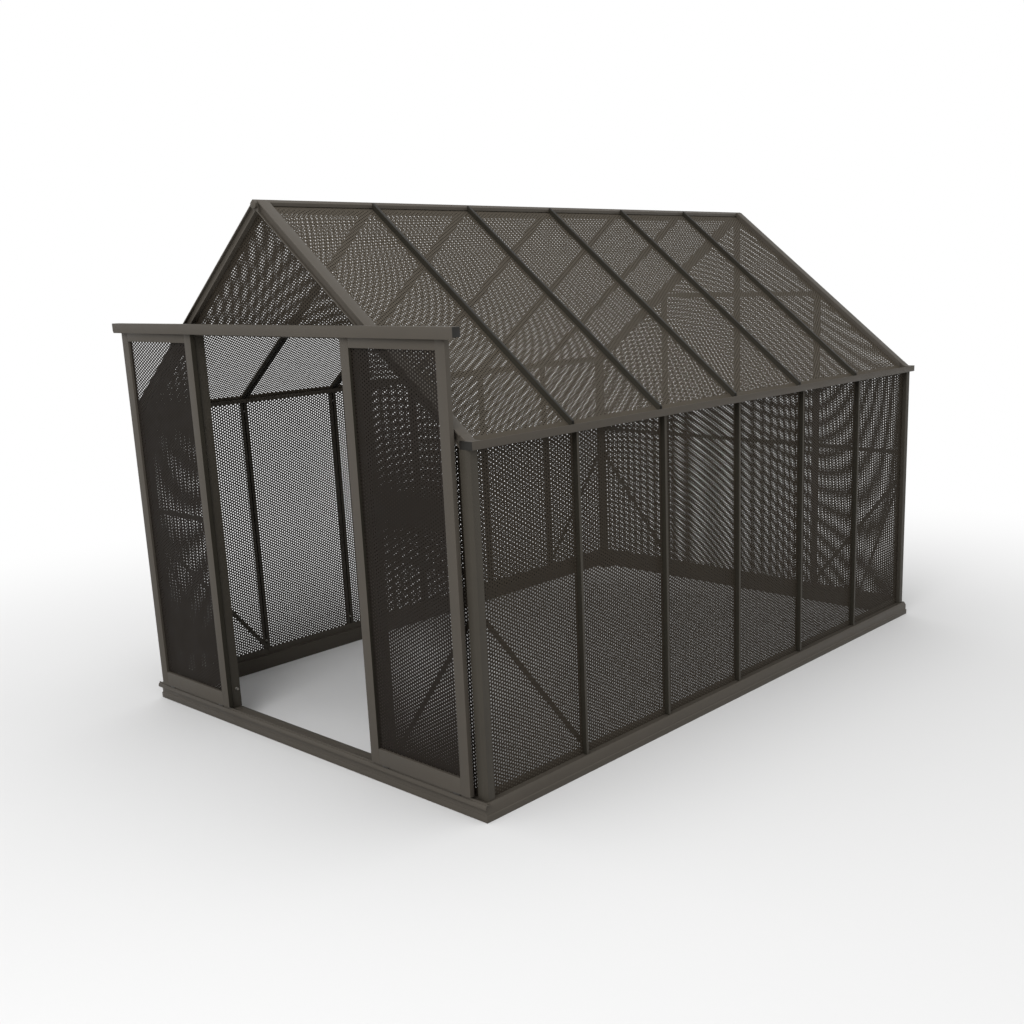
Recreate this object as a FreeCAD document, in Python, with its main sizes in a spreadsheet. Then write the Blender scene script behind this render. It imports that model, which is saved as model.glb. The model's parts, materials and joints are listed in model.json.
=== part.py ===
import FreeCAD, Part
import Sketcher
import os
import re

# Shade house: a gabled walk-in frame of extruded bars, closed all round with thin sheet panels,
# with a pair of top-hung sliding doors in the front gable.
# Frame: +Z up, ground at z = 0, front gable towards -Y, origin under the middle of the whole house.
# A "reach" is a distance outwards from the post lines, which run through the middle of the bar grid.

# Driving dimensions in millimetres; roof_pitch is in degrees and side_bays is a count.
SIZES = {
    # grid, heights and roof
    "bay": 620, "side_bays": 6, "eaves_height": 1597, "roof_pitch": 38.2, "roof_seat": 13,
    # base rail
    "base_height": 81, "base_overhang": 46, "base_inset": 22, "base_wall": 3, "base_lip_height": 28,
    "base_lip_step": 4, "base_face_height": 62, "base_ledge": 6, "upstand_height": 36,
    "cleat_width": 90, "cleat_thick": 4, "anchor_radius": 5.25,
    # bars and panels
    "face_reach": 28, "rib_width": 16, "rib_depth": 23, "slot_width": 7, "slot_depth": 14,
    "flange_width": 46, "flange_thick": 3, "panel_thick": 1, "post_width": 50, "post_wall": 2.5,
    "post_bevel": 12, "jamb_width": 40,
    # end rafters, eaves beams and ridge
    "rafter_width": 58, "rafter_depth": 44, "rafter_wall": 2.5, "rafter_groove": 14, "rafter_lip": 6,
    "eaves_depth": 31, "lip_rise": 3, "eaves_reach": 50, "eaves_inset": 18, "eaves_wall": 2.5,
    "eaves_front": 24, "eaves_rear": 30, "roof_tail": 3, "cap_thick": 4, "ridge_drop": 9,
    "ridge_cap_half": 16, "ridge_cap_edge": 16, "ridge_neck_half": 4, "ridge_half_width": 26,
    "ridge_side": 8, "ridge_keel": 8, "ridge_keel_half": 16, "ridge_wall": 2.5,
    "ridge_end_half": 19, "ridge_end_side": 14, "ridge_end_thick": 12,
    # openings in the wall and roof sheets: counts, and the metal left between two of them
    "mesh_columns": 5, "mesh_rows": 12, "mesh_bar": 60,
    # gable rails, strips and braces
    "rail_height": 40, "rail_drop": 1.8, "rail_below_header": 16, "rear_rail_height": 30,
    "rear_rail_drop": 14, "rear_rail_depth": 16, "strip_level": 1047, "strip_height": 26, "strip_thick": 3,
    "brace_top": 880, "brace_foot": 111, "brace_width": 38, "brace_lap": 12,
    # header track
    "header_wall": 2.5, "header_skirt": 8, "header_over": 38, "header_head_room": 10.7,
    "hanger_gap": 4, "back_lip": 5.5, "spacer_width": 60,
    # sill guide
    "guide_thick": 3, "guide_over": 53, "guide_ledge": 25, "guide_nose": 5, "guide_drop": 10,
    "guide_lip": 10, "fin_height": 8,
    # doors and their running gear
    "door_clearance": 8, "door_thick": 24, "door_wall": 2, "door_stile": 56, "door_top_rail": 47,
    "door_bottom_rail": 75, "door_head_gap": 4, "door_sill_gap": 13, "door_cover": 26,
    "left_short": 32, "right_short": 62, "hanger_inset": 90, "hanger_width": 32, "hanger_thick": 4,
    "hanger_foot": 3, "hanger_foot_depth": 18, "hanger_top": 10, "roller_radius": 12, "roller_width": 10,
    "roller_offset": 2.5, "roller_rise": 0.3, "axle_radius": 4, "axle_play": 0.05, "side_play": 0.3,
    "collar_radius": 6, "axle_head": 2, "end_play": 0.7, "shoe_length": 40, "shoe_roof": 2,
    "shoe_leg": 8, "shoe_side": 4.5, "shoe_play": 1,
    # fasteners
    "bolt_radius": 6.5, "bolt_head": 5, "bolt_from_end": 48, "jamb_bolt_radius": 8,
    "jamb_bolt_length": 15, "jamb_bolt_level": 182,
}

# Lengths that follow from the driving dimensions.
WORKED_OUT = {
    "half_x": "2 * bay",
    "half_y": "side_bays * bay / 2",
    "middle_y": "(header_reach - base_overhang) / 2",
    "front_line": "middle_y - half_y",
    "rear_line": "middle_y + half_y",
    "post_inset": "post_width - face_reach",
    "panel_out": "face_reach - rib_depth",
    "panel_in": "panel_out - panel_thick",
    "flange_in": "panel_in - flange_thick",
    "upstand_top": "base_height + upstand_height",
    "shoulder_reach": "face_reach + base_ledge",
    "eaves_bottom": "eaves_height - eaves_depth",
    "gutter_lip": "eaves_height + lip_rise",
    "apex": "eaves_height + roof_seat + half_x * tan(roof_pitch)",
    "seat_depth": "rib_depth + panel_thick",
    "flange_depth": "seat_depth + flange_thick",
    "roof_end": "half_x + roof_tail",
    "ridge_top": "apex - ridge_drop",
    "ridge_eave": "apex - ridge_half_width * tan(roof_pitch) - seat_depth / cos(roof_pitch)",
    "ridge_hip": "ridge_eave - ridge_side",
    "keel": "ridge_hip - ridge_keel",
    "rafter_soffit": "apex - rafter_depth / cos(roof_pitch)",
    "rail_top": "rafter_soffit - (bay + jamb_width / 2) * tan(roof_pitch) - rail_drop",
    "rail_bottom": "rail_top - rail_height",
    "rear_rail_level": "rafter_soffit - bay * tan(roof_pitch) - rear_rail_drop",
    "header_height": "rail_bottom + rail_below_header",
    "door_front": "face_reach + door_clearance + door_thick",
    "door_back": "face_reach + door_clearance",
    "door_middle": "face_reach + door_clearance + door_thick / 2",
    "lip_width": "roller_offset + roller_width + side_play + axle_head + end_play",
    "slot_front": "door_front + hanger_gap",
    "slot_back": "door_front - hanger_thick - hanger_gap",
    "header_reach": "slot_front + lip_width + header_wall",
    "header_back": "slot_back - back_lip - header_wall",
    "header_tall": "2 * header_wall + roller_rise + 2 * roller_radius + header_head_room",
    "header_half": "half_x + header_over",
    "guide_top": "base_height + guide_thick",
    "door_bottom": "guide_top + door_sill_gap",
    "door_top": "header_height - door_head_gap",
    "door_width": "bay + door_cover",
    "axle_level": "header_height + header_wall + roller_rise + roller_radius",
    "roller_front": "slot_front + roller_offset + roller_width",
    "roller_back": "slot_front + roller_offset",
}

doc = FreeCAD.newDocument("shade_house")
sheet = doc.addObject("Spreadsheet::Sheet", "dims")
for row, (alias, value) in enumerate(SIZES.items(), start=1):
    sheet.set("A%d" % row, alias)
    sheet.set("B%d" % row, str(value))
    sheet.setAlias("B%d" % row, alias)
doc.recompute()

nodes = []


def size(text):
    """Turn plain size names into references to the sheet's cells."""
    def swap(match):
        name = match.group()
        if name in WORKED_OUT:
            return "(" + size(WORKED_OUT[name]) + ")"
        return "dims." + name if name in SIZES else name
    return re.sub(r"[a-z][a-z_]*", swap, str(text))


def number(text):
    return float(sheet.evalExpression(size(text)))


def roof(x, depth):
    """Height of the roof plane that lies the given depth under the bars' outer edges."""
    return "(apex - (%s) * tan(roof_pitch) - (%s) / cos(roof_pitch))" % (x, depth)


def sloping(start, stop, top, bottom):
    """Outline of a strip along the slope, between two distances from the middle and two depths."""
    return [(start, roof(start, top)), (stop, roof(stop, top)),
            (stop, roof(stop, bottom)), (start, roof(start, bottom))]


def under_rafter(level):
    """Distance from the middle at which a level meets the underside of the end rafters."""
    return "((rafter_soffit - (%s)) / tan(roof_pitch))" % level


def box(low_a, low_b, high_a, high_b):
    return [(low_a, low_b), (high_a, low_b), (high_a, high_b), (low_a, high_b)]


def mirrored(points):
    return [("-(%s)" % a, b) for a, b in points]


def symmetric(right):
    """A closed outline from the points of its right half; those on the middle line count once."""
    return right + mirrored([spot for spot in right if spot[0] != 0])[::-1]


def piece(label, x=0, y=0, turn=0, node=True):
    """A body at a place in plan, turned about the vertical; a node is written to a file of its own."""
    body = doc.addObject("PartDesign::Body", label)
    body.Label = label
    body.Placement.Rotation = FreeCAD.Rotation(FreeCAD.Vector(0, 0, 1), turn)
    body.setExpression("Placement.Base.x", size(x))
    body.setExpression("Placement.Base.y", size(y))
    if node:
        nodes.append(body)
    return body


def copy_of(body, label, y, turn):
    """The same piece again at another place in plan."""
    copy = doc.addObject("App::Link", label)
    copy.Label = label
    copy.LinkedObject = body
    copy.Placement.Rotation = FreeCAD.Rotation(FreeCAD.Vector(0, 0, 1), turn)
    copy.setExpression("Placement.Base.y", size(y))
    return copy


def group(label, members):
    """Like pieces that share one node as separate solids."""
    together = doc.addObject("Part::Compound", label)
    together.Label = label
    together.Links = members
    nodes.append(together)
    return together


def sketch(body, plane, outlines, circles, offset):
    """Closed outlines and circles on one of the body's own planes, each point tied to the sheet."""
    drawing = body.newObject("Sketcher::SketchObject", body.Name + "_sketch")
    support = [feature for feature in body.Origin.OriginFeatures if feature.Role == plane][0]
    drawing.AttachmentSupport = (support, "")
    drawing.MapMode = "FlatFace"
    drawing.setExpression("AttachmentOffset.Base.z", size(offset))
    ties = []
    for points in outlines:
        spots = [FreeCAD.Vector(number(a), number(b), 0) for a, b in points]
        first = drawing.GeometryCount
        count = len(spots)
        for index, spot in enumerate(spots):
            drawing.addGeometry(Part.LineSegment(spot, spots[(index + 1) % count]), False)
        for index, spot in enumerate(spots):
            follower = first + (index + 1) % count
            drawing.addConstraint(Sketcher.Constraint("Coincident", first + index, 2, follower, 1))
        for index, spot in enumerate(spots):
            line = first + index
            ties.append((Sketcher.Constraint("DistanceX", -1, 1, line, 1, spot.x), points[index][0]))
            ties.append((Sketcher.Constraint("DistanceY", -1, 1, line, 1, spot.y), points[index][1]))
    for centre_a, centre_b, radius in circles:
        centre = FreeCAD.Vector(number(centre_a), number(centre_b), 0)
        ring = drawing.addGeometry(Part.Circle(centre, FreeCAD.Vector(0, 0, 1), number(radius)), False)
        ties.append((Sketcher.Constraint("DistanceX", -1, 1, ring, 3, centre.x), centre_a))
        ties.append((Sketcher.Constraint("DistanceY", -1, 1, ring, 3, centre.y), centre_b))
        ties.append((Sketcher.Constraint("Radius", ring, number(radius)), radius))
    for constraint, text in ties:
        place = drawing.addConstraint(constraint)
        drawing.setExpression("Constraints[%d]" % place, size(text))
    return drawing


def prism(body, plane, start, end, outlines=(), circles=(), cut=False):
    """Add outlines to a body, or cut them out of it, between two places along the plane's own axis.

    A pad grows along the sketch's normal and a pocket against it. The normal is the axis itself on
    the XY and YZ planes, and -Y on the XZ plane.
    """
    grows_forwards = (plane == "XZ_Plane") == cut
    offset = start if grows_forwards else end
    if plane == "XZ_Plane":
        offset = "-(%s)" % offset
    kind = "PartDesign::Pocket" if cut else "PartDesign::Pad"
    feature = body.newObject(kind, body.Name + ("_cut" if cut else "_pad"))
    feature.Profile = sketch(body, plane, outlines, circles, offset)
    feature.setExpression("Length", size("(%s) - (%s)" % (end, start)))


def bolt(x, y, z, axis, radius="bolt_radius", length="bolt_head"):
    """One bolt head: a short cylinder that stands on its seat along an axis."""
    head = doc.addObject("Part::Cylinder", "bolt_head_solid")
    head.setExpression("Radius", size(radius))
    head.setExpression("Height", size(length))
    head.Placement.Rotation = FreeCAD.Rotation(FreeCAD.Vector(0, 0, 1), FreeCAD.Vector(*axis))
    for letter, text in zip("xyz", (x, y, z)):
        head.setExpression("Placement.Base." + letter, size(text))
    return head


# Base rails: one hollow extruded profile, mitred at the corners, with an upstand behind the panels.
def base_outline(place):
    """Outer and inner outline of the base profile; place turns a reach into a sketch coordinate."""
    outer = [("base_overhang", 0), ("base_overhang", "base_lip_height"),
             ("base_overhang - base_lip_step", "base_lip_height + base_lip_step"),
             ("base_overhang - base_lip_step", "base_face_height"),
             ("shoulder_reach", "base_height"), ("-base_inset", "base_height"), ("-base_inset", 0)]
    hollow_reach = "base_overhang - base_lip_step - base_wall"
    inner = [(hollow_reach, "base_wall"), (hollow_reach, "base_face_height - base_wall"),
             ("shoulder_reach - base_wall", "base_height - base_wall"),
             ("base_wall - base_inset", "base_height - base_wall"),
             ("base_wall - base_inset", "base_wall")]
    return [[(place % reach, level) for reach, level in outline] for outline in (outer, inner)]


def side_base_rail(label, turn):
    rail = piece(label, y="middle_y", turn=turn)
    end = "half_y + base_overhang"
    prism(rail, "XZ_Plane", "-(%s)" % end, end, base_outline("half_x + (%s)"))
    near = "half_x - base_inset - 1"
    far = "half_x + base_overhang + 1"
    corner = [(near, "half_y - base_inset - 1"), (far, "half_y + base_overhang + 1"),
              (near, "half_y + base_overhang + 1")]
    other_corner = [(x, "-(%s)" % y) for x, y in corner]
    prism(rail, "XY_Plane", -1, "base_height + 1", [corner, other_corner], cut=True)
    prism(rail, "XZ_Plane", "post_inset - half_y", "half_y - post_inset",
          [box("half_x + flange_in", "base_height", "half_x + panel_in", "upstand_top")])


def gable_base_rail(label, y, turn, upstands):
    rail = piece(label, y=y, turn=turn)
    end = "half_x + base_overhang"
    prism(rail, "YZ_Plane", "-(%s)" % end, end, base_outline("-(%s)"))
    near = "half_x - base_inset - 1"
    far = "half_x + base_overhang + 1"
    corner = [(near, "base_inset + 1"), (far, "-base_overhang - 1"), (far, "base_inset + 1")]
    prism(rail, "XY_Plane", -1, "base_height + 1", [corner, mirrored(corner)], cut=True)
    for start, stop in upstands:
        prism(rail, "YZ_Plane", start, stop, [box("-panel_in", "base_height", "-flange_in", "upstand_top")])


side_base_rail("base_rail_right", 0)
side_base_rail("base_rail_left", 180)
post_face = "half_x - post_inset"
jamb_face = "bay + jamb_width / 2"
gable_base_rail("base_rail_rear", "rear_line", 180, [("-(%s)" % post_face, post_face)])
gable_base_rail("door_sill", "front_line", 0,
                [(jamb_face, post_face), ("-(%s)" % post_face, "-(%s)" % jamb_face)])


# Ground cleats: a drilled plate inside each corner of the base.
def ground_cleat(name, x_sign, y_line, y_sign):
    cleat = piece(name, x="%d * (half_x - base_inset - cleat_width / 2)" % x_sign,
                  y="%s + %d * (base_inset + cleat_width / 2)" % (y_line, y_sign), node=False)
    half = "cleat_width / 2"
    prism(cleat, "XY_Plane", 0, "cleat_thick", [box("-" + half, "-" + half, half, half)],
          [(0, 0, "anchor_radius")])
    return cleat


group("ground_cleats", [ground_cleat("ground_cleat_%d" % index, x_sign, line, y_sign)
                        for index, (x_sign, line, y_sign) in enumerate(
                            [(1, "front_line", 1), (-1, "front_line", 1),
                             (1, "rear_line", -1), (-1, "rear_line", -1)], start=1)])


# Corner posts: hollow square section with the outer corner bevelled.
def corner_post(label, x, y, turn):
    post = piece(label, x=x, y=y, turn=turn)
    low = "-post_inset"
    outer = [(low, low), ("face_reach", low), ("face_reach", "face_reach - post_bevel"),
             ("face_reach - post_bevel", "face_reach"), (low, "face_reach")]
    inner_low = "post_wall - post_inset"
    inner_high = "face_reach - post_wall"
    inner = [(inner_low, inner_low), (inner_high, inner_low), (inner_high, "face_reach - post_bevel"),
             ("face_reach - post_bevel", inner_high), (inner_low, inner_high)]
    prism(post, "XY_Plane", "base_height", "eaves_bottom", [outer, inner])


corner_post("corner_post_rear_right", "half_x", "rear_line", 0)
corner_post("corner_post_rear_left", "-half_x", "rear_line", 90)
corner_post("corner_post_front_left", "-half_x", "front_line", 180)
corner_post("corner_post_front_right", "half_x", "front_line", 270)

# Eaves beams: open gutter sections, closed by end caps, with a foot block under each end rafter.
inner_face = "half_x - eaves_inset"
trough_in = "half_x - eaves_inset + eaves_wall"
trough_out = "half_x + eaves_reach - eaves_wall"
trough_floor = "eaves_bottom + eaves_wall"
gutter_section = [
    (inner_face, "eaves_bottom"), ("half_x + eaves_reach", "eaves_bottom"),
    ("half_x + eaves_reach", "gutter_lip"), (trough_out, "gutter_lip"), (trough_out, trough_floor),
    (trough_in, trough_floor), (trough_in, roof(trough_in, "flange_depth")),
    (inner_face, roof(inner_face, "flange_depth"))]
rafter_foot = [
    (trough_in, trough_floor), (trough_out, trough_floor), (trough_out, "gutter_lip"),
    ("half_x + (roof_seat - lip_rise) / tan(roof_pitch)", "gutter_lip"), (inner_face, roof(inner_face, 0)),
    (inner_face, roof(inner_face, "flange_depth")), (trough_in, roof(trough_in, "flange_depth"))]
cap_section = box(inner_face, "eaves_bottom", "half_x + eaves_reach", "gutter_lip")
rafter_back = "half_y + face_reach - rafter_width"
caps = []
feet = []
for side, turn, low_end, high_end in (("right", 0, "eaves_front", "eaves_rear"),
                                      ("left", 180, "eaves_rear", "eaves_front")):
    low = "half_y + " + low_end
    high = "half_y + " + high_end
    beam = piece("eaves_beam_" + side, y="middle_y", turn=turn)
    prism(beam, "XZ_Plane", "-(%s)" % low, high, [gutter_section])
    for end, start, stop in ((low_end, "-(%s + cap_thick)" % low, "-(%s)" % low),
                             (high_end, high, high + " + cap_thick")):
        cap = piece("%s_cap_%s" % (end, side), y="middle_y", turn=turn, node=False)
        prism(cap, "XZ_Plane", start, stop, [cap_section])
        caps.append(cap)
    for end, start, stop in ((low_end, "-(%s)" % low, "-(%s)" % rafter_back), (high_end, rafter_back, high)):
        foot = piece("%s_foot_%s" % (end, side), y="middle_y", turn=turn, node=False)
        prism(foot, "XZ_Plane", start, stop, [rafter_foot])
        feet.append(foot)
group("eaves_end_caps", caps)
group("rafter_feet", feet)


# Ridge beam: a peaked cap on a neck along the whole roof, over a hollow body that carries the bars
# and sheets between the end rafters, and a block on each end.
def peak(x):
    return "ridge_top - (%s) * tan(roof_pitch)" % x


cap_right = [(0, "ridge_top"), ("ridge_cap_half", peak("ridge_cap_half")),
             ("ridge_cap_half", peak("ridge_cap_half") + " - ridge_cap_edge"),
             ("ridge_neck_half", peak("ridge_neck_half") + " - ridge_cap_edge"),
             ("ridge_neck_half", roof("ridge_neck_half", "flange_depth")), (0, roof(0, "flange_depth"))]
body_right = [(0, roof(0, "seat_depth")), ("ridge_half_width", "ridge_eave"),
              ("ridge_half_width", "ridge_hip"), ("ridge_keel_half", "keel")]
void_half = "ridge_half_width - ridge_wall"
void_depth = "seat_depth + ridge_wall"
void_right = [(0, roof(0, void_depth)), (void_half, roof(void_half, void_depth)),
              (void_half, "ridge_hip + ridge_wall"),
              ("ridge_keel_half - ridge_wall / 2", "keel + ridge_wall")]
end_eave = peak("ridge_end_half")
end_hip = end_eave + " - ridge_end_side"
end_right = [(0, "ridge_top"), ("ridge_end_half", end_eave), ("ridge_end_half", end_hip),
             ("ridge_end_half / 2", end_hip + " - ridge_end_half / 2")]
ridge_end = "half_y + face_reach"
ridge = piece("ridge_beam", y="middle_y")
prism(ridge, "XZ_Plane", "-(%s)" % rafter_back, rafter_back, [symmetric(body_right), symmetric(void_right)])
prism(ridge, "XZ_Plane", "-(%s)" % ridge_end, ridge_end, [symmetric(cap_right)])
ridge_caps = []
for end, turn in (("rear", 0), ("front", 180)):
    cap = piece("ridge_cap_" + end, y="middle_y", turn=turn, node=False)
    prism(cap, "XZ_Plane", ridge_end, ridge_end + " + ridge_end_thick", [symmetric(end_right)])
    ridge_caps.append(cap)
group("ridge_end_caps", ridge_caps)


# End rafters: hollow bars along the gable edges, grooved along their outer face, with a nose under the
# ridge.
def end_rafter(label, sign, y, turn):
    rafter = piece(label, y=y, turn=turn)
    back = "rafter_width - face_reach"
    profile = sloping("ridge_cap_half", inner_face, 0, "rafter_depth")[:3] + [
        (0, roof(0, "rafter_depth")), (0, roof(0, "flange_depth")),
        ("ridge_cap_half", roof("ridge_cap_half", "flange_depth"))]
    groove = sloping("ridge_end_half", inner_face + " + 1", "rafter_lip", "rafter_depth - rafter_lip")
    void = sloping("ridge_half_width", inner_face + " + 1", "rafter_wall", "rafter_depth - rafter_wall")
    if sign < 0:
        profile, groove, void = mirrored(profile), mirrored(groove), mirrored(void)
    prism(rafter, "XZ_Plane", "-face_reach", back, [profile])
    prism(rafter, "XZ_Plane", "-face_reach - 1", "rafter_groove - face_reach", [groove], cut=True)
    prism(rafter, "XZ_Plane", "rafter_groove + rafter_wall - face_reach", "%s - rafter_wall" % back, [void],
          cut=True)


end_rafter("end_rafter_front_right", 1, "front_line", 0)
end_rafter("end_rafter_front_left", -1, "front_line", 0)
end_rafter("end_rafter_rear_left", 1, "rear_line", 180)
end_rafter("end_rafter_rear_right", -1, "rear_line", 180)


# Wall bars: a rib that stands proud of the panels and a flange behind them, with a bolt slot inside.
def wall_bar(name, y, turn):
    bar = piece(name, y=y, turn=turn, node=False)
    half_rib = "rib_width / 2"
    half_flange = "flange_width / 2"
    half_slot = "slot_width / 2"
    prism(bar, "XY_Plane", "base_height", "eaves_bottom",
          [box("half_x + panel_in", "-" + half_rib, "half_x + face_reach", half_rib)])
    prism(bar, "XY_Plane", "upstand_top", "eaves_bottom",
          [box("half_x + flange_in", "-" + half_flange, "half_x + panel_in", half_flange)])
    prism(bar, "XY_Plane", "upstand_top", "eaves_bottom + 1",
          [box("half_x + flange_in - 1", "-" + half_slot, "half_x + flange_in + slot_depth", half_slot)],
          cut=True)
    return bar


# Roof bars: the same section along the slope, from the ridge beam to the gutter.
def roof_bar(name, y, turn):
    bar = piece(name, y=y, turn=turn, node=False)

    def across(width):
        return "-%s / 2" % width, "%s / 2" % width

    prism(bar, "XZ_Plane", *across("rib_width"), [sloping("ridge_cap_half", "roof_end", 0, "seat_depth")])
    prism(bar, "XZ_Plane", *across("flange_width"),
          [sloping("ridge_half_width", "roof_end", "seat_depth", "flange_depth")])
    prism(bar, "XZ_Plane", *across("slot_width"),
          [sloping("ridge_half_width", "roof_end + 1", "flange_depth - slot_depth", "flange_depth + 1")],
          cut=True)
    return bar


side_bays = int(number("side_bays"))
lines = ["front_line + %d * bay" % index for index in range(side_bays + 1)]
for side, turn in (("right", 0), ("left", 180)):
    inner_lines = list(enumerate(lines))[1:-1]
    group("wall_bars_" + side,
          [wall_bar("wall_bar_%s_%d" % (side, index), line, turn) for index, line in inner_lines])
    group("roof_bars_" + side,
          [roof_bar("roof_bar_%s_%d" % (side, index), line, turn) for index, line in inner_lines])


# Rear gable bars: the wall section again, cut to the slope of the rafters.
def rafter_line(x):
    return x, roof("abs(%s)" % x, "rafter_depth")


def gable_bar(name, x):
    bar = piece(name, y="rear_line", turn=180, node=False)

    def upright(width, foot):
        low = "%s - %s / 2" % (x, width)
        high = "%s + %s / 2" % (x, width)
        return [(low, foot), (high, foot), rafter_line(high), rafter_line(low)]

    prism(bar, "XZ_Plane", "-face_reach", "-panel_in", [upright("rib_width", "base_height")])
    prism(bar, "XZ_Plane", "-panel_in", "-flange_in", [upright("flange_width", "upstand_top")])
    slot = box("%s - slot_width / 2" % x, "upstand_top", "%s + slot_width / 2" % x, "ridge_top")
    prism(bar, "XZ_Plane", "-flange_in - slot_depth", "1 - flange_in", [slot], cut=True)
    return bar


group("rear_gable_bars",
      [gable_bar("rear_gable_bar_" + place, x)
       for place, x in (("left", "bay"), ("middle", "0"), ("right", "-bay"))])


# Gable rails: cross bars cut to the rafters' underside, and thin strips at waist height.
def cross_bar(label, y, turn, near, far, bottom, top):
    rail = piece(label, y=y, turn=turn)
    prism(rail, "XZ_Plane", near, far,
          [[("-" + under_rafter(bottom), bottom), (under_rafter(bottom), bottom),
            (under_rafter(top), top), ("-" + under_rafter(top), top)]])


cross_bar("rear_gable_rail", "rear_line", 180, "-flange_in", "rear_rail_depth - flange_in",
          "rear_rail_level", "rear_rail_level + rear_rail_height")
cross_bar("front_gable_rail", "front_line", 0, "-face_reach", "post_inset", "rail_bottom", "rail_top")

strip_top = "strip_level + strip_height"
rear_strip = piece("rear_waist_strip", y="rear_line", turn=180, node=False)
prism(rear_strip, "XZ_Plane", "-flange_in", "strip_thick - flange_in",
      [box("-(%s)" % post_face, "strip_level", post_face, strip_top)])
strips = [rear_strip]
for side, sign in (("right", 1), ("left", -1)):
    strip = piece("front_waist_strip_" + side, y="front_line", node=False)
    span = box(jamb_face, "strip_level", post_face, strip_top)
    prism(strip, "XZ_Plane", "-panel_in", "strip_thick - panel_in", [span if sign > 0 else mirrored(span)])
    strips.append(strip)
group("waist_strips", strips)

# Door jambs: hollow posts one bay either side of the middle, under the front rail.
for side, sign in (("right", 1), ("left", -1)):
    jamb = piece("door_jamb_" + side, x="%d * bay" % sign, y="front_line")
    half = "jamb_width / 2"
    hollow = "jamb_width / 2 - post_wall"
    prism(jamb, "XY_Plane", "base_height", "rail_bottom",
          [box("-" + half, "-face_reach", half, "post_inset"),
           box("-(%s)" % hollow, "post_wall - face_reach", hollow, "post_inset - post_wall")])


# Panels: thin sheets between the ribs, seated on the flanges. A coarse grid of openings stands for the
# fine perforation of the wall and roof sheets.
def rows(start, stop, bar):
    """Start and end of each row of openings between two places, with a bar's width between rows."""
    step = "((%s) - (%s)) / mesh_rows" % (stop, start)
    return [("%s + %d * %s + %s / 2" % (start, row, step, bar),
             "%s + %d * %s - %s / 2" % (start, row + 1, step, bar))
            for row in range(int(number("mesh_rows")))]


def pierce(panel, half, cells):
    """Cut one column of cells through a sheet and repeat it across the sheet's width."""
    pitch = "2 * %s / mesh_columns" % half
    first = "mesh_bar / 2 - " + half
    prism(panel, "XZ_Plane", first, "%s + %s - mesh_bar" % (first, pitch), cells, cut=True)
    column = panel.Tip
    across = [axis for axis in panel.Origin.OriginFeatures if axis.Role == "Y_Axis"][0]
    columns = panel.newObject("PartDesign::LinearPattern", panel.Name + "_columns")
    columns.Originals = [column]
    columns.Direction = (across, [""])
    columns.setExpression("Length", size("(mesh_columns - 1) * " + pitch))
    columns.setExpression("Occurrences", size("mesh_columns"))
    panel.Tip = columns


def wall_panel(name, half):
    panel = piece(name, node=False)
    prism(panel, "YZ_Plane", "half_x + panel_in", "half_x + panel_out",
          [box("-" + half, "base_height", half, "eaves_bottom")])
    places = rows("upstand_top", "eaves_bottom", "mesh_bar")
    pierce(panel, half, [box("half_x + panel_in - 1", low, "half_x + panel_out + 1", high)
                         for low, high in places])
    return panel


def roof_panel(name, half):
    panel = piece(name, node=False)
    prism(panel, "XZ_Plane", "-" + half, half,
          [sloping("ridge_neck_half", "roof_end", "rib_depth", "seat_depth")])
    places = rows("ridge_half_width", inner_face, "mesh_bar * cos(roof_pitch)")
    pierce(panel, half, [sloping(low, high, "rib_depth - 1", "seat_depth + 1") for low, high in places])
    return panel


for kind, make, end_width in (("wall", wall_panel, "post_inset"),
                              ("roof", roof_panel, "(rafter_width - face_reach)")):
    end_panel = make("%s_panel_end" % kind, "(bay - rib_width / 2 - %s) / 2" % end_width)
    inner_panel = make("%s_panel_inner" % kind, "(bay - rib_width) / 2")
    shift = "(%s - rib_width / 2) / 2" % end_width
    for side, turn in (("right", 0), ("left", 180)):
        sheets = []
        for index, line in enumerate(lines[:-1], start=1):
            panel, middle = inner_panel, line + " + bay / 2"
            if index == 1:
                panel, middle = end_panel, "%s + %s" % (middle, shift)
            elif index == side_bays:
                panel, middle = end_panel, "%s - %s" % (middle, shift)
            sheets.append(copy_of(panel, "%s_panel_%s_%d" % (kind, side, index), middle, turn))
        group("%s_panels_%s" % (kind, side), sheets)


def gable_sheet(name, y, turn, outline):
    panel = piece(name, y=y, turn=turn, node=False)
    prism(panel, "XZ_Plane", "-panel_out", "-panel_in", [outline])
    return panel


outer_bay = [("bay + rib_width / 2", "base_height"), (post_face, "base_height"),
             rafter_line(post_face), rafter_line("bay + rib_width / 2")]
inner_bay = [("rib_width / 2", "base_height"), ("bay - rib_width / 2", "base_height"),
             rafter_line("bay - rib_width / 2"), rafter_line("rib_width / 2")]
group("rear_gable_panels",
      [gable_sheet("rear_panel_%d" % index, "rear_line", 180, outline) for index, outline in enumerate(
          [outer_bay, inner_bay, mirrored(inner_bay), mirrored(outer_bay)], start=1)])
door_side = [(jamb_face, "base_height"), (post_face, "base_height"), rafter_line(post_face),
             (under_rafter("rail_bottom"), "rail_bottom"), (jamb_face, "rail_bottom")]
half_top = [(0, "rafter_soffit"), (under_rafter("rail_top"), "rail_top")]
group("front_gable_panels",
      [gable_sheet("front_panel_right", "front_line", 0, door_side),
       gable_sheet("front_panel_left", "front_line", 0, mirrored(door_side)),
       gable_sheet("front_panel_top", "front_line", 0, symmetric(half_top))])


# Wind braces: flat strips from a corner post at waist height down to the foot of the next bar.
def brace_line(post_end, foot_end):
    half = "brace_width / 2"
    return [(post_end, "brace_top - " + half), (foot_end, "brace_foot - " + half),
            (foot_end, "brace_foot + " + half), (post_end, "brace_top + " + half)]


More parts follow.
